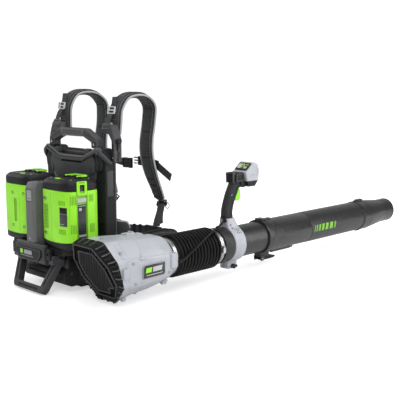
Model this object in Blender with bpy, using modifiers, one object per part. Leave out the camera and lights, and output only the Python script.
"""Battery backpack leaf blower.

Frame: origin on the flat underside of the base housing, on the centre plane.  +X is
the wearer's right, +Y the way the wearer faces and the tube points, +Z up.  Units are
metres.  The places below are drawn from a datum at foot level under the wearer-side
face of the back frame; the last lines move everything to the origin.
"""
import math

import bmesh
import bpy
from mathutils import Matrix, Vector

# ------------------------------------------------------- shared dimensions
GAP = 0.0003                 # running gap between neighbouring pieces
BASE_HALF_W = 0.107
BASE_BOTTOM = 0.008
BASE_TOP = 0.115
DATUM = (0.0, 0.060, -BASE_BOTTOM)   # the drawing datum, seen from the origin

# air line: everything sits round this axis, parallel to +Y
FAN_X = 0.275
FAN_Z = 0.0965
AIR_AXIS = (FAN_X, 0.0, FAN_Z)
ROUND_STEPS = 32
TUBE_IN_R = 0.0480
TUBE_R = 0.0505
SLEEVE_R = 0.0508
OUTER_R = 0.0535

# pivot between base and fan unit
FAN_HALF_W = 0.0875
PIVOT_Y = -0.095
PIVOT_Z = 0.082

SIDES = (("left", -1), ("right", 1))

# name: (colour, roughness, metallic)
LOOKS = {
    "graphite": ((0.035, 0.036, 0.038), 0.55, 0.0),
    "graphite_light": ((0.075, 0.077, 0.08), 0.5, 0.0),
    "black": ((0.012, 0.012, 0.013), 0.5, 0.0),
    "rubber": ((0.010, 0.010, 0.010), 0.7, 0.0),
    "lime": ((0.32, 0.78, 0.03), 0.4, 0.0),
    "silver": ((0.62, 0.63, 0.66), 0.4, 0.0),
    "steel": ((0.6, 0.6, 0.6), 0.25, 1.0),
    "fabric": ((0.05, 0.05, 0.055), 0.9, 0.0),
    "webbing": ((0.03, 0.03, 0.032), 0.85, 0.0),
    "tube": ((0.045, 0.046, 0.048), 0.35, 0.0),
    "board": ((0.02, 0.12, 0.05), 0.5, 0.0),
    "blue": ((0.05, 0.12, 0.3), 0.4, 0.0),
}

# ------------------------------------------------------------- empty scene
for old in list(bpy.data.objects):
    bpy.data.objects.remove(old, do_unlink=True)
for old in list(bpy.data.collections):
    bpy.data.collections.remove(old)

PARTS = bpy.data.collections.new("backpack_leaf_blower")
CUTTERS = bpy.data.collections.new("cutters")
bpy.context.scene.collection.children.link(PARTS)
bpy.context.scene.collection.children.link(CUTTERS)


# ------------------------------------------------------- objects and looks
def material(name, look):
    colour, roughness, metallic = LOOKS[look]
    mat = bpy.data.materials.new(name)
    mat.use_nodes = True
    inputs = mat.node_tree.nodes["Principled BSDF"].inputs
    inputs["Base Color"].default_value = (*colour, 1.0)
    inputs["Roughness"].default_value = roughness
    inputs["Metallic"].default_value = metallic
    return mat


def add_object(name, mesh, look=None, centre=(0, 0, 0), turn=(0, 0, 0)):
    piece = bpy.data.objects.new(name, mesh)
    piece.location = centre
    piece.rotation_euler = turn
    PARTS.objects.link(piece)
    if look:
        mesh.materials.append(material(name, look))
    return piece


def attach(piece, parent):
    """Parent while keeping the place in the world."""
    bpy.context.view_layer.update()
    world = piece.matrix_world.copy()
    piece.parent = parent
    piece.matrix_parent_inverse = Matrix.Identity(4)
    piece.matrix_basis = parent.matrix_world.inverted() @ world


def attach_all(parent, *pieces):
    for piece in pieces:
        attach(piece, parent)


def empty(name, place, parent=None):
    marker = bpy.data.objects.new(name, None)
    marker.location = place
    marker.empty_display_size = 0.03
    PARTS.objects.link(marker)
    if parent:
        attach(marker, parent)
    return marker


# --------------------------------------------------------------- modifiers
def bevel(piece, width, segments=1, degrees=35.0):
    mod = piece.modifiers.new("bevel", "BEVEL")
    mod.width = width
    mod.segments = segments
    mod.limit_method = "ANGLE"
    mod.angle_limit = math.radians(degrees)
    mod.use_clamp_overlap = True


def cut(piece, tool, operation="DIFFERENCE"):
    """Boolean with a tool that becomes a hidden helper."""
    mod = piece.modifiers.new("cut", "BOOLEAN")
    mod.operation = operation
    mod.solver = "EXACT"
    mod.object = tool
    tool.hide_render = True
    tool.display_type = "WIRE"
    PARTS.objects.unlink(tool)
    CUTTERS.objects.link(tool)


def join(piece, tool):
    cut(piece, tool, "UNION")


# ------------------------------------------------------------ solid makers
def finish_mesh(name, build, sharp_degrees=None):
    """Turn a bmesh into a mesh, smooth-shaded if a sharp-edge angle is given."""
    mesh = bpy.data.meshes.new(name)
    build.to_mesh(mesh)
    build.free()
    if sharp_degrees:
        mesh.shade_smooth()
        mesh.set_sharp_from_angle(angle=math.radians(sharp_degrees))
    return mesh


def box(name, size, centre, look=None, turn=(0, 0, 0), edge=0.0, segments=1):
    build = bmesh.new()
    bmesh.ops.create_cube(build, size=1.0)
    bmesh.ops.scale(build, vec=size, verts=build.verts)
    piece = add_object(name, finish_mesh(name, build), look, centre, turn)
    if edge:
        bevel(piece, edge, segments)
    return piece


def span(name, x, y, z, look=None, edge=0.0, segments=1):
    """Box from its low and high bounds on each axis."""
    size = [high - low for low, high in (x, y, z)]
    middle = [(low + high) / 2 for low, high in (x, y, z)]
    return box(name, size, middle, look, edge=edge, segments=segments)


def around(middle, half):
    """Low and high bounds either side of a middle."""
    return (middle - half, middle + half)


# rotation that carries local z to the named axis
AXES = {"X": (0.0, math.pi / 2, 0.0), "Y": (-math.pi / 2, 0.0, 0.0)}


def cylinder(name, radius, length, centre, axis, look=None, sides=24):
    build = bmesh.new()
    bmesh.ops.create_cone(build, cap_ends=True, cap_tris=False, segments=sides,
                          radius1=radius, radius2=radius, depth=length)
    return add_object(name, finish_mesh(name, build, 35), look, centre, AXES[axis])


def turned(name, profile, look=None, centre=AIR_AXIS, axis="Y", steps=ROUND_STEPS):
    """Screw modifier over a closed profile of (radius, place along axis) points."""
    build = bmesh.new()
    verts = [build.verts.new((radius, 0.0, along)) for radius, along in profile]
    for start, end in zip(verts, verts[1:] + verts[:1]):
        build.edges.new((start, end))
    piece = add_object(name, finish_mesh(name, build), look, centre, AXES[axis])
    mod = piece.modifiers.new("turn", "SCREW")
    mod.axis = "Z"
    mod.angle = 2 * math.pi
    mod.steps = steps
    mod.render_steps = steps
    mod.use_merge_vertices = True
    mod.merge_threshold = 0.00005
    mod.use_smooth_shade = True
    return piece


def ring(name, inner, outer, rear, front, look=None, steps=ROUND_STEPS):
    """Plain ring round the air line."""
    profile = [(outer, front), (outer, rear), (inner, rear), (inner, front)]
    return turned(name, profile, look, steps=steps)


def mesh_from_curve(curve, dissolve):
    """Welded mesh of a filled or bevelled curve; dissolve merges its flat faces."""
    outline = bpy.data.objects.new("outline", curve)
    PARTS.objects.link(outline)
    bpy.context.view_layer.update()
    depsgraph = bpy.context.evaluated_depsgraph_get()
    mesh = bpy.data.meshes.new_from_object(outline.evaluated_get(depsgraph))
    bpy.data.objects.remove(outline, do_unlink=True)
    build = bmesh.new()
    build.from_mesh(mesh)
    bmesh.ops.remove_doubles(build, verts=build.verts, dist=0.00001)
    if dissolve:
        bmesh.ops.dissolve_limit(build, angle_limit=math.radians(1.0),
                                 verts=build.verts, edges=build.edges)
    bmesh.ops.recalc_face_normals(build, faces=build.faces)
    build.to_mesh(mesh)
    build.free()
    return mesh


def add_polyline(curve, points, cyclic):
    spline = curve.splines.new("POLY")
    spline.points.add(len(points) - 1)
    for target, point in zip(spline.points, points):
        target.co = (*point, 1.0)
    spline.use_cyclic_u = cyclic


PLANES = {
    "XY": (0.0, 0.0, 0.0),
    "XZ": (math.pi / 2, 0.0, 0.0),           # local y up, local z towards -Y
    "YZ": (math.pi / 2, 0.0, math.pi / 2),   # local x along +Y, local z along +X
}


def prism(name, loops, thickness, centre, plane, look=None):
    """Flat outline, then any holes, thickened evenly about its plane."""
    curve = bpy.data.curves.new(name, "CURVE")
    curve.dimensions = "2D"
    curve.fill_mode = "BOTH"
    curve.extrude = thickness / 2
    for loop in loops:
        add_polyline(curve, [(x, y, 0.0) for x, y in loop], cyclic=True)
    return add_object(name, mesh_from_curve(curve, dissolve=True), look, centre, PLANES[plane])


def prism_xz(name, outline, rear, front, look=None):
    return prism(name, [outline], front - rear, (0, (rear + front) / 2, 0), "XZ", look)


def prism_xy(name, outline, bottom, top, look=None):
    return prism(name, [outline], top - bottom, (0, 0, (bottom + top) / 2), "XY", look)


def prism_yz(name, outline, width, look=None, x=0.0):
    return prism(name, [outline], width, (x, 0, 0), "YZ", look)


def rod(name, points, radius, look):
    """Round bar through points."""
    curve = bpy.data.curves.new(name, "CURVE")
    curve.dimensions = "3D"
    curve.bevel_depth = radius
    curve.bevel_resolution = 1
    curve.use_fill_caps = True
    add_polyline(curve, points, cyclic=False)
    mesh = mesh_from_curve(curve, dissolve=False)
    mesh.shade_smooth()
    mesh.set_sharp_from_angle(angle=math.radians(40))
    return add_object(name, mesh, look)


def loft(name, rings, look, closed=False):
    """Skin between unlike sections that share a point count; capped unless closed."""
    build = bmesh.new()
    rows = [[build.verts.new(point) for point in points] for points in rings]
    count = len(rows[0])
    pairs = list(zip(rows, rows[1:]))
    if closed:
        pairs.append((rows[-1], rows[0]))
    for near, far in pairs:
        for i in range(count):
            j = (i + 1) % count
            build.faces.new((near[i], near[j], far[j], far[i]))
    if not closed:
        build.faces.new(rows[0])
        build.faces.new(rows[-1])
    bmesh.ops.recalc_face_normals(build, faces=build.faces)
    return add_object(name, finish_mesh(name, build, 40), look)


def tangent(points, i):
    return (points[min(i + 1, len(points) - 1)] - points[max(i - 1, 0)]).normalized()


def ribbon(name, path, widths, thicknesses, width_dir, look):
    """Strap: a flat section swept along a path, each row with its own size."""
    points = [Vector(point) for point in path]
    rings = []
    for i, point in enumerate(points):
        along = tangent(points, i)
        across = Vector(width_dir)
        across = (across - along * across.dot(along)).normalized()
        through = along.cross(across).normalized()
        half_w = widths[i] / 2
        half_t = thicknesses[i] / 2
        flat = half_w - 0.3 * half_t
        corners = [(half_w, -half_t * 0.5), (half_w, half_t * 0.5),
                   (flat, half_t), (-flat, half_t),
                   (-half_w, half_t * 0.5), (-half_w, -half_t * 0.5),
                   (-flat, -half_t), (flat, -half_t)]
        rings.append([point + across * side + through * rise for side, rise in corners])
    return loft(name, rings, look)


def smooth_path(controls, count):
    """Catmull-Rom points through the control points."""
    knots = [Vector(point) for point in controls]
    knots = [knots[0] * 2 - knots[1]] + knots + [knots[-1] * 2 - knots[-2]]
    path = []
    spans = len(knots) - 3
    for k in range(count):
        place = k / (count - 1) * spans
        i = min(int(place), spans - 1)
        part = place - i
        before, start, end, after = knots[i:i + 4]
        path.append(0.5 * ((2 * start) + (end - before) * part
                           + (2 * before - 5 * start + 4 * end - after) * part ** 2
                           + (3 * start - before - 3 * end + after) * part ** 3))
    return path


def mirrored(outline):
    """Closes an outline given for one side of x = 0 with its mirror."""
    return list(outline) + [(-x, y) for x, y in reversed(outline)]


def signed_power(value, power):
    return math.copysign(abs(value) ** power, value)


def rounded_oval(count, power):
    """Unit oval squared off by a power below 1, starting half a step round."""
    angles = [2 * math.pi * (i + 0.5) / count for i in range(count)]
    return [(signed_power(math.cos(angle), power), signed_power(math.sin(angle), power))
            for angle in angles]


# ============================================================== back frame
FRAME_HALF_W = 0.147
FRAME_REAR = -0.045
FRAME_FRONT = -0.0066
FRAME_BOTTOM = 0.1153
FRAME_LEDGE = 0.392
FRAME_SHOULDER = 0.407
HANDLE_TOP = 0.4615
HANDLE_BAR = 0.022

# outlines in this section: (x, z)
SHELL_SIDE = [(0.118, FRAME_BOTTOM), (FRAME_HALF_W - 0.002, 0.150), (FRAME_HALF_W, 0.384),
              (0.131, FRAME_SHOULDER), (0.088, FRAME_SHOULDER), (0.078, FRAME_LEDGE)]
BROW = [(-0.1200, 0.3925), (-0.1200, 0.3780), (-0.1105, 0.388), (-0.056, 0.366),
        (0.056, 0.366), (0.1105, 0.388), (0.1200, 0.3780), (0.1200, 0.3925),
        (0.1125, 0.4050), (0.058, 0.381), (-0.058, 0.381), (-0.1125, 0.4050)]
SHIELD = [(-0.060, 0.300), (0.060, 0.300), (0.112, 0.330), (0.112, 0.380),
          (0.056, 0.372), (-0.056, 0.372), (-0.112, 0.380), (-0.112, 0.330)]
BACK_SIDE = [(0.100, 0.034), (0.112, 0.110), (0.140, 0.150), (0.140, 0.378), (0.122, 0.398)]
HANDLE_FOOT = FRAME_SHOULDER + GAP
HANDLE_OUTER = [(0.092, HANDLE_FOOT), (0.118, HANDLE_FOOT), (0.118, 0.433), (0.062, HANDLE_TOP)]
HANDLE_INNER_LEFT = [(-0.092, 0.4235), (-0.052, HANDLE_TOP - HANDLE_BAR)]

# shell, open towards the wearer, with a rib and a bulge on its rear
frame_shell = prism_xz("frame_shell", mirrored(SHELL_SIDE), FRAME_REAR, FRAME_FRONT, "graphite")
bevel(frame_shell, 0.0035)
cut(frame_shell, span("frame_pocket", (-0.132, 0.132), (-0.0405, 0.01), (0.165, 0.370)))
brow = prism_xz("brow_rib", BROW, -0.064, -0.043)
bevel(brow, 0.003)
join(frame_shell, brow)
shield = prism_xz("shield_bulge", SHIELD, -0.057, -0.0435)
bevel(shield, 0.008)
join(frame_shell, shield)

# plate over the wearer side
back_plate = prism_xz("back_plate", mirrored(BACK_SIDE), -0.0062, -0.0004, "graphite_light")
bevel(back_plate, 0.0015)

# handle arch on the frame's shoulders
carry_handle = prism_xz("carry_handle", mirrored(HANDLE_OUTER) + mirrored(HANDLE_INNER_LEFT),
                        -0.0535, -0.0285, "graphite")
bevel(carry_handle, 0.004, segments=2)

# ==================================================================== base
# (y, z), seen from the side
BASE_PROFILE = [(FRAME_FRONT, 0.028), (-0.020, BASE_BOTTOM), (-0.110, BASE_BOTTOM),
                (-0.120, 0.0155), (-0.142, 0.0145), (-0.160, 0.0225), (-0.1700, 0.038),
                (-0.168, 0.057), (-0.152, 0.069), (-0.152, BASE_TOP), (FRAME_FRONT, BASE_TOP)]
REAR_BOX_PROFILE = [(-0.150, 0.080), (-0.198, 0.080), (-0.210, 0.086), (-0.2135, 0.128),
                    (-0.209, 0.140), (-0.1965, 0.140), (-0.1965, 0.1145), (-0.150, 0.1145)]
REAR_BOX_HALF_W = 0.0715

base_housing = prism_yz("base_housing", BASE_PROFILE, 2 * BASE_HALF_W, "graphite")
bevel(base_housing, 0.004)
rear_box = prism_yz("base_rear_box", REAR_BOX_PROFILE, 2 * REAR_BOX_HALF_W)
bevel(rear_box, 0.002)
join(base_housing, rear_box)
cut(base_housing, span("base_pocket", (-0.093, 0.093), (-0.126, 0.02), (0.036, 0.107)))
cut(base_housing, cylinder("pivot_bore", 0.0124, 0.06, (0.105, PIVOT_Y, PIVOT_Z), "X"))

# foot: a trapezoid loop behind the base, its top leaning forward
FOOT_HALF_W = 0.068
FOOT_BAR = 0.020
FOOT_HEIGHT = 0.112
FOOT_LEAN = math.atan2(0.050, FOOT_HEIGHT)
# (x, height along the lean)
FOOT_OUTLINE = [(-FOOT_HALF_W, 0.0), (FOOT_HALF_W, 0.0), (0.077, 0.010), (0.104, FOOT_HEIGHT),
                (0.083, FOOT_HEIGHT), (0.0575, FOOT_BAR), (-0.0575, FOOT_BAR),
                (-0.083, FOOT_HEIGHT), (-0.104, FOOT_HEIGHT), (-0.077, 0.010)]
foot_loop = prism("foot_loop", [FOOT_OUTLINE], 0.021, (0, -0.2160, -0.0008), "XZ", "graphite")
foot_loop.rotation_euler = (math.pi / 2 - FOOT_LEAN, 0, 0)
bevel(foot_loop, 0.003)

# plate on the rear face
PLATE_SIDE = [(0.045, 0.090), (0.064, 0.108), (0.064, 0.1265)]   # (x, z)
name_plate = prism_xz("name_plate", mirrored(PLATE_SIDE), -0.2175, -0.2139, "black")
bevel(name_plate, 0.001)

# tray under both batteries
TRAY_BOTTOM = BASE_TOP + GAP
TRAY_TOP = 0.1335
TRAY_SIDE = [(0.142, -0.056), (0.150, -0.072), (0.152, -0.130), (0.145, -0.166),
             (0.130, -0.184), (0.082, -0.1955)]                  # (x, y)
battery_tray = prism_xy("battery_tray", mirrored(TRAY_SIDE), TRAY_BOTTOM, TRAY_TOP, "black")
cut(battery_tray, span("terminal_window", (-0.060, 0.060), (-0.165, -0.095), (0.10, 0.15)))
bevel(battery_tray, 0.0015, degrees=50)

# block in the tray's window, three blade slots for each battery
TERMINAL_TOP = 0.1338
SLOT_X = 0.042
SLOT_Y = -0.130
SLOT_PITCH = 0.017
terminal_block = span("terminal_block", (-0.0592, 0.0592), (-0.1642, -0.0958),
                      (TRAY_BOTTOM, TERMINAL_TOP), "black")
for _, side in SIDES:
    for k in (-1, 0, 1):
        cut(terminal_block, span("blade_slot", around(side * SLOT_X, 0.008),
                                 around(SLOT_Y + k * SLOT_PITCH, 0.002), (0.122, 0.15)))

# pillar between the batteries, clear of tray and terminal block
PILLAR_BOTTOM = 0.1342
PILLAR_HALF_W = 0.0235
PILLAR_PROFILE = [(-0.1950, PILLAR_BOTTOM), (-0.1950, 0.1405), (-0.2085, 0.1405),
                  (-0.2085, 0.298), (-0.199, 0.314), (-0.110, 0.314), (-0.098, 0.302),
                  (-0.098, PILLAR_BOTTOM)]                       # (y, z)
battery_pillar = prism_yz("battery_pillar", PILLAR_PROFILE, 2 * PILLAR_HALF_W, "graphite_light")
bevel(battery_pillar, 0.0045)

# circuit board inside the base, parts on its rear face
# middle x, middle z, width, height, depth
BOARD_PARTS = [(-0.045, 0.072, 0.030, 0.035, 0.022),
               (0.010, 0.080, 0.024, 0.020, 0.012),
               (0.050, 0.060, 0.026, 0.024, 0.016)]
control_board = span("control_board", (-0.082, 0.082), (-0.036, -0.0335), (0.042, 0.102), "board")
for x, z, width, height, depth in BOARD_PARTS:
    join(control_board, span("board_part", around(x, width / 2), (-0.0355 - depth, -0.0345),
                             around(z, height / 2)))

# ribbed boot round the pivot, between base and fan unit
BOOT_RIBS = 5
BOOT_BORE_R = 0.020
BOOT_CREST_R = 0.030
BOOT_ROOT_R = 0.025
BOOT_START = BASE_HALF_W + 0.0006
BOOT_END = FAN_X - FAN_HALF_W - 0.0045
boot_profile = []
for i in range(BOOT_RIBS):
    crest = BOOT_END - (BOOT_END - BOOT_START) * i / BOOT_RIBS
    root = BOOT_END - (BOOT_END - BOOT_START) * (i + 0.5) / BOOT_RIBS
    boot_profile += [(BOOT_CREST_R, crest), (BOOT_ROOT_R, root)]
boot_profile += [(BOOT_CREST_R, BOOT_START), (BOOT_BORE_R, BOOT_START), (BOOT_BORE_R, BOOT_END)]
turned("pivot_boot", boot_profile, "rubber", (0, PIVOT_Y, PIVOT_Z), "X", steps=18)

# ================================================================= harness
span("back_pad", (-0.100, 0.100), (0.0, 0.022), (0.205, 0.375), "fabric", edge=0.009, segments=2)

# shoulder strap centre line for the +X side, from anchor over the shoulder to chest
STRAP_LINE = [(0.120, 0.0135, 0.448), (0.123, 0.014, 0.480), (0.124, 0.018, 0.524),
              (0.124, 0.042, 0.558), (0.124, 0.082, 0.5675), (0.121, 0.124, 0.559),
              (0.116, 0.151, 0.530), (0.113, 0.151, 0.478), (0.112, 0.142, 0.420),
              (0.112, 0.143, 0.375), (0.111, 0.159, 0.319)]
# the last two points: the left strap's lower end swings out a little
STRAP_END = {"left": [(0.115, 0.182, 0.267), (0.119, 0.197, 0.230)],
             "right": [(0.109, 0.184, 0.267), (0.107, 0.203, 0.230)]}
STRAP_SAG = {"left": 0.0, "right": 0.008}    # drop of the strap over the shoulder
SAG_START_Z = 0.48
SAG_BLEND = 0.07                             # height over which the sag builds up
STRAP_STATIONS = 22

ANCHOR = [(0.1476, 0.368), (0.1600, 0.368), (0.1600, 0.436), (0.144, 0.476),
          (0.108, 0.476), (0.108, 0.450), (0.134, 0.448), (0.1476, 0.430)]   # (x, z)

WEBBING_TOP = {"left": (0.1200, 0.1985), "right": (0.1070, 0.2060)}   # (x, y)
WEBBING_LOW_X = 0.1455

BELT_LINE = [(0.024, 0.0090, 0.138), (0.080, 0.0090, 0.136), (0.128, 0.017, 0.124),
             (0.153, 0.047, 0.112), (0.163, 0.100, 0.112), (0.164, 0.150, 0.114),
             (0.156, 0.200, 0.109), (0.138, 0.238, 0.100), (0.112, 0.262, 0.098),
             (0.080, 0.276, 0.098), (0.058, 0.282, 0.098)]
# belt width and thickness at its 21 stations, back to front
BELT_WIDTHS = [0.060, 0.080, 0.090, 0.088, 0.082, 0.080, 0.076, 0.074, 0.075, 0.076, 0.074,
               0.072, 0.070, 0.068, 0.062, 0.054, 0.044, 0.038, 0.038, 0.038, 0.038]
BELT_THICKNESSES = [0.012] * 15 + [0.009, 0.006, 0.004, 0.003, 0.003, 0.003]


def shoulder_strap(label, side):
    path = []
    for point in smooth_path(STRAP_LINE + STRAP_END[label], STRAP_STATIONS):
        share = min(1.0, max(0.0, (point.z - SAG_START_Z) / SAG_BLEND))
        path.append((side * point.x, point.y, point.z - STRAP_SAG[label] * share))
    widths = []
    thicknesses = []
    for i in range(STRAP_STATIONS):
        start_share = min(1.0, i / 4)
        end_share = max(0.0, (i - (STRAP_STATIONS - 5)) / 4)
        widths.append(0.050 + 0.008 * start_share - 0.018 * end_share)
        thicknesses.append(0.009 + 0.004 * start_share)
    ribbon("shoulder_strap_" + label, path, widths, thicknesses, (1, 0, 0), "fabric")


def strap_anchor(label, side):
    anchor = prism_xz("strap_anchor_" + label, [(side * x, z) for x, z in ANCHOR],
                      -0.0235, 0.0055, "graphite")
    bevel(anchor, 0.0025)


def lower_webbing(label, side):
    top_x, top_y = WEBBING_TOP[label]
    # share of the way from top x to low x, y, z
    stations = [(0.0, top_y, 0.218), (0.4, 0.186, 0.198), (0.7, 0.166, 0.178), (1.0, 0.148, 0.158)]
    line = [(side * ((1 - share) * top_x + share * WEBBING_LOW_X), y, z)
            for share, y, z in stations]
    ribbon("lower_webbing_" + label, smooth_path(line, 6), [0.026] * 6, [0.0030] * 6,
           (1, 0.35, 0.1), "webbing")


def waist_belt(label, side):
    path = smooth_path([(side * x, y, z) for x, y, z in BELT_LINE], len(BELT_WIDTHS))
    ribbon("waist_belt_" + label, path, BELT_WIDTHS, BELT_THICKNESSES, (0, 0, 1), "fabric")


for label, side in SIDES:
    shoulder_strap(label, side)
    strap_anchor(label, side)
    lower_webbing(label, side)
    waist_belt(label, side)

# waist buckle: female half on the right, male half on the left
BUCKLE_INNER_X = 0.0012
BUCKLE_OUTER_X = 0.0572
BUCKLE_Y = (0.2765, 0.2885)
BUCKLE_Z = (0.076, 0.120)
belt_female = span("belt_buckle_female", (BUCKLE_INNER_X, BUCKLE_OUTER_X), BUCKLE_Y, BUCKLE_Z,
                   "black", edge=0.002)
cut(belt_female, span("belt_socket", (-0.01, 0.034), (0.2795, 0.2855), (0.082, 0.114)))
belt_male = span("belt_buckle_male", (-BUCKLE_OUTER_X, -BUCKLE_INNER_X), BUCKLE_Y, BUCKLE_Z,
                 "black", edge=0.002)
join(belt_male, span("belt_prongs", (-0.004, 0.030), (0.2800, 0.2850), (0.0825, 0.1135)))

# sternum strap and its open buckle
STERNUM_LINE = [(-0.0785, 0.155, 0.3545), (-0.052, 0.158, 0.349), (-0.0245, 0.160, 0.345)]
PRONG_Z = 0.355
PRONG_PITCH = 0.0105
ribbon("sternum_webbing", smooth_path(STERNUM_LINE, 5), [0.025] * 5, [0.0025] * 5,
       (0, 0, 1), "webbing")
sternum_female = span("sternum_buckle_female", (-0.0215, 0.0185), (0.1555, 0.1655),
                      (0.328, 0.360), "black", edge=0.002)
cut(sternum_female, span("sternum_socket", (-0.010, 0.03), (0.158, 0.163), (0.332, 0.356)))
sternum_male = span("sternum_buckle_male", (0.0580, 0.0820), (0.151, 0.161), (0.341, 0.369),
                    "black", edge=0.002)
for k in (-1, 0, 1):
    join(sternum_male, span("sternum_prong", (0.0360, 0.0600), (0.154, 0.158),
                            around(PRONG_Z + k * PRONG_PITCH, 0.002)))

# =============================================================== batteries
BAT_X = 0.100                # centre of each battery from the centre plane
BAT_Y = -0.137
BAT_HALF_X = 0.0742
BAT_HALF_Y = 0.0575
BAT_BOTTOM = 0.1345
BAT_CASE_TOP = 0.2985
BAT_CAP_TOP = 0.3290
BAT_SQUARENESS = 4.0         # superellipse exponent of the plan outline
CAP_INSET = 0.002
LATCH_SHIFT = 0.012          # latch off the battery's centre, in y
LATCH_SLOT_HALF_Y = 0.018

BAIL_HALF_X = 0.031
BAIL_ARM = 0.008             # width of the bail's arms
BAIL_BAR = 0.009             # depth of its crossbar
BAIL_HALF_T = 0.0026
BAIL_Z = BAT_CAP_TOP + 0.0042
BAIL_HINGE_Y = BAT_Y + 0.010
BAIL_REAR = BAIL_HINGE_Y - 0.0025
BAIL_FRONT = BAT_Y + 0.046


def battery_outline(centre_x, inset=0.0):
    return [(centre_x + (BAT_HALF_X - inset) * x, BAT_Y + (BAT_HALF_Y - inset) * y)
            for x, y in rounded_oval(32, 2 / BAT_SQUARENESS)]


def latch_slot(name, side, inset, depth, bottom, top):
    """Cutter from `inset` inside the battery's outer side outwards."""
    floor = side * (BAT_X + BAT_HALF_X - inset)
    return span(name, sorted((floor, floor + side * depth)),
                around(BAT_Y - side * LATCH_SHIFT, LATCH_SLOT_HALF_Y), (bottom, top))


def battery_case(prefix, side):
    centre_x = side * BAT_X
    case = prism_xy(prefix + "case", battery_outline(centre_x), BAT_BOTTOM, BAT_CASE_TOP, "lime")
    cut(case, span("cell_pocket", around(centre_x, 0.066), around(BAT_Y, 0.0465),
                   (BAT_BOTTOM + 0.004, BAT_CASE_TOP + 0.01)))
    cut(case, latch_slot("latch_channel", side, 0.003, 0.010,
                         BAT_BOTTOM - 0.01, BAT_CASE_TOP + 0.01))
    return case


def battery_cap(prefix, side):
    cap = prism_xy(prefix + "cap", battery_outline(side * BAT_X, CAP_INSET),
                   BAT_CASE_TOP + GAP, BAT_CAP_TOP, "black")
    bevel(cap, 0.006, degrees=60)
    cut(cap, latch_slot("latch_seat", side, 0.0055, 0.012,
                        BAT_CASE_TOP - 0.01, BAT_CAP_TOP + 0.01))
    return cap


def battery_bail(prefix, side, slide):
    """Folding carry bail, hinged across the cap."""
    centre_x = side * BAT_X
    left, right = around(centre_x, BAIL_HALF_X)
    inner_front = BAIL_FRONT - BAIL_BAR
    outline = [(left, BAIL_REAR), (left, BAIL_FRONT), (right, BAIL_FRONT), (right, BAIL_REAR),
               (right - BAIL_ARM, BAIL_REAR), (right - BAIL_ARM, inner_front),
               (left + BAIL_ARM, inner_front), (left + BAIL_ARM, BAIL_REAR)]
    bail = prism_xy(prefix + "bail", outline, *around(BAIL_Z, BAIL_HALF_T), "lime")
    bevel(bail, 0.001)
    attach(bail, empty(prefix + "bail_hinge", (centre_x, BAIL_HINGE_Y, BAIL_Z), slide))


def battery_latch(prefix, side, slide):
    """Release latch at the top of the side channel, hinged at its lower edge."""
    middle_y = BAT_Y - side * LATCH_SHIFT
    inner_x = side * (BAT_X + BAT_HALF_X - 0.0026)
    outer_x = side * (BAT_X + BAT_HALF_X + 0.0010)
    rear, front = around(middle_y, 0.0165)
    hole_rear, hole_front = around(middle_y, 0.009)
    loops = [[(rear, 0.2870), (front, 0.2870), (front, 0.3265), (rear, 0.3265)],
             [(hole_rear, 0.2935), (hole_rear, 0.3175), (hole_front, 0.3175),
              (hole_front, 0.2935)]]
    latch = prism(prefix + "latch", loops, abs(outer_x - inner_x),
                  ((inner_x + outer_x) / 2, 0, 0), "YZ", "lime")
    bevel(latch, 0.0008)
    attach(latch, empty(prefix + "latch_hinge", (outer_x, middle_y, 0.2875), slide))


def battery(label, side):
    prefix = "battery_%s_" % label
    slide = empty(prefix + "slide", (side * BAT_X, BAT_Y, BAT_BOTTOM))
    case = battery_case(prefix, side)
    cells = span(prefix + "cells", around(side * BAT_X, 0.065), around(BAT_Y, 0.0455),
                 (BAT_BOTTOM + 0.005, BAT_CASE_TOP - 0.006), "blue", edge=0.006)
    cap = battery_cap(prefix, side)
    attach_all(slide, case, cells, cap)
    battery_bail(prefix, side, slide)
    battery_latch(prefix, side, slide)


for label, side in SIDES:
    battery(label, side)

# ================================================================ fan unit
FAN_HALF_H = 0.0865
FAN_FLAT = 0.034             # half height of the octagon's upright sides
FAN_TOP = 0.047              # half width of its top
FAN_BELOW = 0.0850           # depth below the axis at the rim
FAN_BOTTOM = 0.038           # half width of its bottom at the rim
INTAKE_TILT = 28.0           # degrees
INTAKE_Y = -0.186            # intake plane where it crosses the axis
RIM_Y = -0.169               # joint between shell and grille on the axis
RIM_TILT = 15.0              # degrees
WALL = 0.003
OUTLET_Y = 0.0790
FLANK_Y = -0.108             # the flat flanks close in from here towards the outlet
FLANK_HALF_W = 0.0872
SIDE_TAPER = 0.0483          # how fast they do so

fan = empty("fan_pivot", (FAN_X - FAN_HALF_W, PIVOT_Y, PIVOT_Z))


def flank_half_width(y):
    return FLANK_HALF_W - SIDE_TAPER * (y - FLANK_Y)


def octagon(shape, per_side, radius=0.0):
    """Octagon round the axis; a radius turns its points onto that circle.

    shape: half width, height above the axis, side half flat, top half flat, depth
    below the axis, bottom half flat.
    """
    half_w, above, flat, top, below, bottom = shape
    corners = [(half_w, -flat), (half_w, flat), (top, above), (-top, above),
               (-half_w, flat), (-half_w, -flat), (-bottom, -below), (bottom, -below)]
    points = []
    for start, end in zip(corners, corners[1:] + corners[:1]):
        for k in range(per_side):
            part = k / per_side
            points.append((start[0] + (end[0] - start[0]) * part,
                           start[1] + (end[1] - start[1]) * part))
    if radius:
        angles = [math.atan2(z, x) for x, z in points]
        points = [(radius * math.cos(angle), radius * math.sin(angle)) for angle in angles]
    return points


def section(points, y, tilt):
    """Points round the axis, in a plane tilted so that its top lies further back."""
    slope = math.tan(math.radians(tilt))
    return [(FAN_X + x, y - slope * z, FAN_Z + z) for x, z in points]


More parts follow.
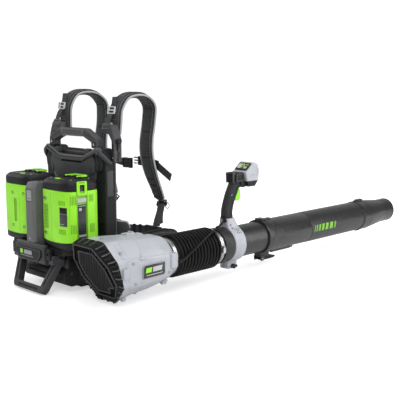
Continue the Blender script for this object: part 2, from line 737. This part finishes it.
# y on the axis, tilt in degrees, octagon shape, radius where round (0 = octagon)
HOUSING = [
    (RIM_Y, RIM_TILT, (FAN_HALF_W, FAN_HALF_H, FAN_FLAT, FAN_TOP, FAN_BELOW, FAN_BOTTOM), 0),
    (FLANK_Y, 6.0, (FLANK_HALF_W, 0.0820, 0.034, 0.045, 0.0740, 0.036), 0),
    (-0.030, 0.0, (flank_half_width(-0.030), 0.0755, 0.032, 0.040, 0.0690, 0.033), 0),
    (0.010, 0.0, (flank_half_width(0.010), 0.0715, 0.031, 0.036, 0.0620, 0.031), 0),
    (0.032, 0.0, (0.0700, 0.0650, 0.028, 0.030, 0.0580, 0.028), 0),
    (0.0465, 0.0, (0.060, 0.060, 0.026, 0.026, 0.060, 0.026), 0.0570),
    (0.0500, 0.0, (0.055, 0.055, 0.024, 0.024, 0.055, 0.024), 0.0500),
    (OUTLET_Y, 0.0, (0.055, 0.055, 0.024, 0.024, 0.055, 0.024), 0.0500),
]
WALL_INSET = (WALL, WALL, 0.001, 0.001, WALL, 0.001)   # taken off each shape value inside

outer_rings = []
inner_rings = []
for y, tilt, shape, radius in HOUSING:
    outer_rings.append(section(octagon(shape, 4, radius), y, tilt))
    inner_shape = [value - inset for value, inset in zip(shape, WALL_INSET)]
    inner_radius = radius - WALL * 0.8 if radius else 0
    inner_y = y if y in (RIM_Y, OUTLET_Y) else y - 0.0015
    inner_rings.append(section(octagon(inner_shape, 4, inner_radius), inner_y, tilt))
fan_housing = loft("fan_housing", outer_rings + inner_rings[::-1], "silver", closed=True)

# intake grille: a rim that closes the shell's slanted mouth and a slanted lattice
LIP = 0.0015
RIM_OUTER = (FAN_HALF_W + LIP, FAN_HALF_H + LIP, FAN_FLAT, FAN_TOP, FAN_BELOW + LIP, FAN_BOTTOM)
RIM_INNER = (0.0800, 0.0795, 0.031, 0.044, 0.0780, 0.036)
MOUTH_OUTER = (0.0755, 0.0795, 0.029, 0.041, 0.0780, 0.036)
MOUTH_INNER = (0.0690, 0.0730, 0.027, 0.038, 0.0715, 0.034)
JOINT_Y = RIM_Y - GAP * 1.2
# y on the axis, tilt in degrees, octagon shape; once round the rim's section
GRILLE_RIM = [
    (JOINT_Y, RIM_TILT, RIM_OUTER),
    (RIM_Y - 0.007, 19.0, RIM_OUTER),
    (INTAKE_Y, INTAKE_TILT, MOUTH_OUTER),
    (INTAKE_Y, INTAKE_TILT, MOUTH_INNER),
    (INTAKE_Y + 0.007, INTAKE_TILT, MOUTH_INNER),
    (RIM_Y - 0.007, 19.0, RIM_INNER),
    (JOINT_Y, RIM_TILT, RIM_INNER),
]
BAR_PITCH = 0.029
CROSS_PITCH = 0.036          # in height
LATTICE_Y = INTAKE_Y + 0.0045
intake_grille = loft("intake_grille", [section(octagon(shape, 2), y, tilt)
                                       for y, tilt, shape in GRILLE_RIM], "black", closed=True)
lattice_tilt = math.radians(INTAKE_TILT)
for step in (-1.5, -0.5, 0.5, 1.5):
    length = 0.166 if abs(step) < 1 else 0.144
    join(intake_grille, box("grille_bar", (0.0040, 0.0050, length),
                            (FAN_X + step * BAR_PITCH, LATTICE_Y, FAN_Z),
                            turn=(lattice_tilt, 0, 0)))
for step in (-1.5, -0.5, 0.5, 1.5):
    length = 0.141 if abs(step) < 1 else 0.118
    rise = step * CROSS_PITCH
    join(intake_grille, box("grille_cross", (length, 0.0044, 0.0040),
                            (FAN_X, LATTICE_Y - rise * math.tan(lattice_tilt), FAN_Z + rise),
                            turn=(lattice_tilt, 0, 0)))


def round_fan(radius, y, angle):
    """Place at a radius and angle round the air line."""
    return (FAN_X + radius * math.cos(angle), y, FAN_Z + radius * math.sin(angle))


# motor mount: outer ring and sleeve joined by seven vanes
motor_mount = ring("motor_mount", 0.0628, 0.0650, -0.1060, -0.0300, "black", steps=24)
join(motor_mount, ring("mount_sleeve", 0.0353, 0.0385, -0.0720, -0.0120, steps=24))
for k in range(7):
    angle = 2 * math.pi * k / 7 + 0.2
    join(motor_mount, box("stator_vane", (0.027, 0.036, 0.0022),
                          round_fan(0.0506, -0.050, angle), turn=(0, -angle, 0)))

# motor; profile points are (radius, y)
MOTOR_PROFILE = [(0.0350, -0.012), (0.0350, -0.074), (0.0060, -0.074), (0.0060, -0.068),
                 (0.0060, -0.020), (0.0060, -0.012)]
motor_can = turned("motor_can", MOTOR_PROFILE, "steel", steps=24)
motor_shaft = cylinder("motor_shaft", 0.0045, 0.122, (FAN_X, -0.073, FAN_Z), "Y", "steel", sides=16)

# impeller: hub and nine pitched blades
HUB_PROFILE = [(0.0335, -0.0765), (0.0335, -0.100), (0.0300, -0.112), (0.0200, -0.122),
               (0.0090, -0.126), (0.0050, -0.1265), (0.0050, -0.0765)]
BLADE_Y = -0.0925
BLADE_PITCH = math.radians(38)
impeller = turned("impeller", HUB_PROFILE, "black", steps=24)
for k in range(9):
    angle = 2 * math.pi * k / 9
    turn = Matrix.Rotation(-angle, 4, "Y") @ Matrix.Rotation(BLADE_PITCH, 4, "X")
    join(impeller, box("fan_blade", (0.029, 0.026, 0.0026), round_fan(0.0455, BLADE_Y, angle),
                       turn=turn.to_euler()))

pivot_shaft = cylinder("pivot_shaft", 0.0118, 0.094, (0.1395, PIVOT_Y, PIVOT_Z), "X", "steel")
join(pivot_shaft, cylinder("pivot_flange", 0.0180, 0.0036, (0.1850, PIVOT_Y, PIVOT_Z), "X"))

# plate on the housing's tapered right flank
SIDE_PLATE_Y = -0.057
side_plate = box("side_plate", (0.0018, 0.084, 0.034),
                 (FAN_X + flank_half_width(SIDE_PLATE_Y) + 0.0013, SIDE_PLATE_Y, FAN_Z - 0.002),
                 "black", turn=(0, 0, math.atan(SIDE_TAPER)), edge=0.0006)

# ==================================================================== hose
HOSE_R = 0.0632
HOSE_VALLEY_R = 0.0555
HOSE_REAR = 0.0505
HOSE_FRONT = 0.266
HOSE_RIBS = 13
RIBS_FRONT = 0.241
RIBS_REAR = 0.076
BEND_Y = 0.157
CLAMP_IN_R = 0.0538
REAR_CLAMP = (0.0545, 0.0660)

rear_hose_clamp = ring("rear_hose_clamp", CLAMP_IN_R, 0.0558, *REAR_CLAMP, "steel")
join(rear_hose_clamp, span("rear_screw_box", around(FAN_X, 0.009), REAR_CLAMP,
                           (FAN_Z - 0.0625, FAN_Z - 0.0545)))

# bellows; ribs run from front to rear
rib_pitch = (RIBS_FRONT - RIBS_REAR) / HOSE_RIBS
hose_profile = [(OUTER_R, HOSE_FRONT), (OUTER_R, 0.243)]
for i in range(HOSE_RIBS):
    hose_profile += [(HOSE_R, RIBS_FRONT - rib_pitch * (i + 0.40)),
                     (HOSE_VALLEY_R, RIBS_FRONT - rib_pitch * (i + 0.92))]
hose_profile += [(OUTER_R, 0.073), (OUTER_R, HOSE_REAR), (0.0503, HOSE_REAR), (0.0503, 0.0800),
                 (0.0520, 0.083), (0.0520, 0.236), (SLEEVE_R, 0.240), (SLEEVE_R, HOSE_FRONT)]
bellows_hose = turned("bellows_hose", hose_profile, "rubber")

attach_all(fan, fan_housing, intake_grille, motor_mount, motor_can, pivot_shaft, side_plate,
           rear_hose_clamp, bellows_hose)
attach_all(empty("impeller_axis", (FAN_X, BLADE_Y, FAN_Z), fan), motor_shaft, impeller)

# ========================================================== hose end, tube
COLLAR_REAR = 0.268
COLLAR_FRONT = 0.312
COLLAR_END = COLLAR_FRONT - 0.0002
COLLAR_R = 0.0555

hose_end = empty("hose_bend", (FAN_X, BEND_Y, FAN_Z), fan)
front_hose_clamp = ring("front_hose_clamp", CLAMP_IN_R, 0.0560, 0.2480, 0.2610, "steel")
join(front_hose_clamp, span("front_screw_box", (FAN_X + 0.0535, FAN_X + 0.0635),
                            (0.2490, 0.2600), (FAN_Z - 0.016, FAN_Z + 0.014)))
swivel_collar = turned("swivel_collar",
                       [(0.0530, COLLAR_END), (COLLAR_R, COLLAR_FRONT - 0.006),
                        (COLLAR_R, COLLAR_REAR + 0.004), (0.0545, COLLAR_REAR),
                        (SLEEVE_R, COLLAR_REAR), (SLEEVE_R, COLLAR_END)], "black")
attach_all(hose_end, front_hose_clamp, swivel_collar)

tube = empty("tube_swivel", (FAN_X, COLLAR_REAR, FAN_Z), hose_end)
attach(ring("inner_tube", TUBE_IN_R, TUBE_R, 0.246, 0.800, "tube"), tube)

# ========================================================== control handle
# outlines in this section are (y, z); all are centred on the air line in x
CLAMP_REAR = 0.3125
CLAMP_FRONT = 0.3605
KNOB_Y = 0.337
KNOB_Z = 0.0260

handle = empty("handle_slide", (FAN_X, CLAMP_REAR, FAN_Z), tube)

# clamp ring with a pedestal above and a split lug below
PEDESTAL = [(0.3132, 0.1475), (0.3598, 0.1475), (0.3560, 0.164), (0.3490, 0.1782),
            (0.3110, 0.1782), (0.3110, 0.166)]
handle_clamp = ring("handle_clamp", SLEEVE_R, 0.0575, CLAMP_REAR, CLAMP_FRONT, "silver")
join(handle_clamp, prism_yz("clamp_pedestal", PEDESTAL, 0.036, x=FAN_X))
join(handle_clamp, span("clamp_lug", around(FAN_X, 0.017), (0.3160, 0.3580), (0.0170, 0.0430),
                        edge=0.002))
cut(handle_clamp, span("clamp_split", around(FAN_X, 0.002), (0.300, 0.372), (0.007, 0.049)))
cut(handle_clamp, cylinder("knob_bore", 0.0034, 0.06, (FAN_X + 0.010, KNOB_Y, KNOB_Z), "X",
                           sides=12))

wing_knob = cylinder("wing_knob", 0.0075, 0.010, (FAN_X + 0.0225, KNOB_Y, KNOB_Z), "X", "black",
                     sides=16)
join(wing_knob, box("wings", (0.005, 0.028, 0.009), (FAN_X + 0.0258, KNOB_Y, KNOB_Z), edge=0.001))
join(wing_knob, cylinder("knob_stud", 0.0030, 0.034, (FAN_X + 0.004, KNOB_Y, KNOB_Z), "X",
                         sides=12))
attach(wing_knob, empty("wing_knob_axis", (FAN_X + 0.018, KNOB_Y, KNOB_Z), handle))

# grip: oval sections along a leaning line, wider at both ends
GRIP_LINE = [(0.3275, 0.1785), (0.3285, 0.2050), (0.3400, 0.2400), (0.3545, 0.2680),
             (0.3650, 0.2900)]
GRIP_HALF_X = 0.0160
GRIP_HALF_Y = 0.0175
GRIP_STATIONS = 11
TRIGGER_SLOT = [(0.3440, 0.2180), (0.3900, 0.2180), (0.3950, 0.2740), (0.3560, 0.2740)]
NECK = [(0.3470, 0.2880), (0.3480, 0.3120), (0.3560, 0.3185), (0.3835, 0.3185),
        (0.3885, 0.3000), (0.3960, 0.2740), (0.3840, 0.2700), (0.3700, 0.2880)]


def grip_sections():
    centres = smooth_path([(FAN_X, y, z) for y, z in GRIP_LINE], GRIP_STATIONS)
    last = GRIP_STATIONS - 1
    rings = []
    for i, centre in enumerate(centres):
        along = Vector((0, 0, 1)) if i in (0, last) else tangent(centres, i)
        across = Vector((0, along.z, -along.y))
        half_y = GRIP_HALF_Y + (0.0030 if i < 2 else 0.0) + (0.004 if i > last - 2 else 0.0)
        rings.append([centre + Vector((GRIP_HALF_X * x, 0, 0)) + across * half_y * y
                      for x, y in rounded_oval(16, 0.8)])
    return rings


grip_shell = loft("grip_shell", grip_sections(), "graphite_light")
cut(grip_shell, prism_yz("trigger_slot", TRIGGER_SLOT, 0.0156, x=FAN_X))
neck = prism_yz("grip_neck", NECK, 0.040, x=FAN_X)
bevel(neck, 0.003)
join(grip_shell, neck)

# control head, its sloping face between PANEL_REAR and PANEL_FRONT
PANEL_REAR = (0.3900, 0.3215)
PANEL_FRONT = (0.4230, 0.3475)
HEAD = [(0.3892, 0.3000), (0.3845, 0.3180), PANEL_REAR, PANEL_FRONT, (0.4400, 0.3420),
        (0.4490, 0.3225), (0.4470, 0.3000), (0.4400, 0.2850), (0.4280, 0.2720),
        (0.3968, 0.2720)]
control_head = prism_yz("control_head", HEAD, 0.058, "silver", FAN_X)
bevel(control_head, 0.0035)

# display panel on that face, with a well for the power button
panel_tilt = math.atan2(PANEL_FRONT[1] - PANEL_REAR[1], PANEL_FRONT[0] - PANEL_REAR[0])
panel_turn = (panel_tilt, 0, 0)
panel_forward = Vector((0, math.cos(panel_tilt), math.sin(panel_tilt)))
panel_normal = Vector((0, -math.sin(panel_tilt), math.cos(panel_tilt)))
panel_middle = Vector((FAN_X, 0.4041, 0.3326))
PANEL_LIFT = 0.0019          # panel centre above the head's face
WELL_LIFT = PANEL_LIFT + 0.0092
button_place = panel_middle + Vector((0.013, 0, 0)) - panel_forward * 0.006
display_panel = box("display_panel", (0.048, 0.032, 0.0028),
                    panel_middle + panel_normal * PANEL_LIFT, "black", panel_turn, edge=0.0008)
cut(display_panel, box("button_well", (0.0112, 0.0092, 0.02),
                       button_place + panel_normal * WELL_LIFT, turn=panel_turn))
power_button = box("power_button", (0.0104, 0.0084, 0.0024),
                   button_place + panel_normal * 0.0034, "silver", panel_turn, edge=0.0004)
attach(power_button, empty("power_button_axis", button_place + panel_normal * 0.0030, handle))

# trigger, outline measured from its axis
TRIGGER_Y = 0.3700
TRIGGER_Z = 0.2635
TRIGGER = [(-0.0045, 0.004), (-0.0060, -0.006), (-0.0090, -0.028), (-0.0100, -0.0345),
           (0.0085, -0.0350), (0.0150, -0.0300), (0.0168, -0.0200), (0.0150, -0.0060),
           (0.0095, 0.004)]
trigger = prism_yz("trigger", [(TRIGGER_Y + y, TRIGGER_Z + z) for y, z in TRIGGER],
                   0.0120, "lime", FAN_X)
bevel(trigger, 0.0012)
attach(trigger, empty("trigger_axis", (FAN_X, TRIGGER_Y, TRIGGER_Z), handle))

# cruise lever behind the neck
CRUISE = [(0.3410, 0.2915), (0.3462, 0.2915), (0.3466, 0.3090), (0.3450, 0.3150),
          (0.3415, 0.3165), (0.3398, 0.3145), (0.3408, 0.3080)]
cruise_lever = prism_yz("cruise_lever", CRUISE, 0.018, "black", FAN_X)
bevel(cruise_lever, 0.001)
attach(cruise_lever, empty("cruise_axis", (FAN_X, 0.3425, 0.2945), handle))

attach_all(handle, handle_clamp, grip_shell, control_head, display_panel)

# control cable, winding back round the hose from the pedestal
CABLE_START = (FAN_X + 0.008, 0.3090, 0.1730)
CABLE_R = 0.0702             # distance of its centre line from the axis over the ribs
# y, degrees from straight up towards +X, distance from the axis
CABLE = [(0.288, 14, 0.0735), (0.262, 22, CABLE_R), (0.225, 34, CABLE_R), (0.185, 48, CABLE_R),
         (0.145, 62, CABLE_R), (0.105, 76, CABLE_R), (0.080, 86, CABLE_R), (0.064, 91, 0.0685),
         (0.0535, 93, 0.0650)]
cable_line = [CABLE_START] + [round_fan(radius, y, math.radians(90 - degrees))
                              for y, degrees, radius in CABLE]
attach(rod("control_cable", smooth_path(cable_line, 26), 0.0034, "rubber"), fan)

# ====================================================== outer tube, nozzle
OUTER_START = 0.475
OUTER_END = 1.036
BORE_R = 0.0530              # outside radius along the tube's middle
SOCKET_R = 0.0562            # outside radius of its rear end
SPIGOT_R = 0.0498            # outside radius of the front end inside the nozzle
SPIGOT_IN_R = 0.0478
SPIGOT_END = 1.074
RIB_BOUNDS_Z = (FAN_Z - 0.0600, FAN_Z - 0.0515)

# profile points are (radius, y)
OUTER_PROFILE = [(SPIGOT_R, SPIGOT_END), (SPIGOT_R, OUTER_END), (OUTER_R, OUTER_END),
                 (OUTER_R, 0.712), (BORE_R, 0.708), (BORE_R, 0.518), (SOCKET_R, 0.512),
                 (SOCKET_R, OUTER_START), (SLEEVE_R, OUTER_START), (SLEEVE_R, 1.020),
                 (SPIGOT_IN_R, 1.032), (SPIGOT_IN_R, SPIGOT_END)]
extend = empty("tube_extend", (FAN_X, OUTER_START, FAN_Z), tube)
outer_tube = turned("outer_tube", OUTER_PROFILE, "tube")
join(outer_tube, span("lock_block", around(FAN_X, 0.013), (0.4755, 0.5250),
                      (FAN_Z - 0.0670, FAN_Z - 0.0515)))
join(outer_tube, span("slider_rib", around(FAN_X, 0.007), (0.5400, 0.6600), RIB_BOUNDS_Z))
attach(outer_tube, extend)

# lock lever under the tube: (y, depth below the air line's axis)
LOCK_LEVER = [(0.4815, 0.0715), (0.4812, 0.0755), (0.4840, 0.0783), (0.5320, 0.0790),
              (0.5520, 0.0765), (0.5560, 0.0730), (0.5520, 0.0710), (0.5300, 0.0712),
              (0.4895, 0.0690), (0.4835, 0.0692)]
lock_lever = prism_yz("tube_lock_lever", [(y, FAN_Z - depth) for y, depth in LOCK_LEVER],
                      0.024, "black", FAN_X)
bevel(lock_lever, 0.001)
attach(lock_lever, empty("tube_lock_axis", (FAN_X, 0.4860, FAN_Z - 0.0735), extend))

# nozzle: (radius, y), outside from tip to rear, then inside back to the tip
TIP_Y = 1.262
TIP_R = 0.0438
NOZZLE_REAR = OUTER_END + 0.0006
NOZZLE_PROFILE = [(TIP_R, TIP_Y), (TIP_R + 0.0012, TIP_Y - 0.004), (TIP_R + 0.0006, 1.210),
                  (0.0498, 1.140), (0.0543, 1.100), (0.0553, 1.055), (0.0553, NOZZLE_REAR),
                  (0.0501, NOZZLE_REAR), (0.0501, 1.076), (0.0480, 1.100), (0.0445, 1.140),
                  (0.0390, 1.210), (0.0385, TIP_Y)]
nozzle = turned("nozzle", NOZZLE_PROFILE, "tube")
join(nozzle, span("bayonet_lug", around(FAN_X, 0.007), (1.056, 1.088),
                  (FAN_Z + 0.0520, FAN_Z + 0.0612)))
attach(nozzle, empty("nozzle_twist", (FAN_X, OUTER_END + 0.001, FAN_Z), extend))

# move the drawing datum so that the origin lies in the base's underside
for piece in list(PARTS.objects) + list(CUTTERS.objects):
    if piece.parent is None:
        piece.location = Vector(piece.location) + Vector(DATUM)

bpy.context.view_layer.update()
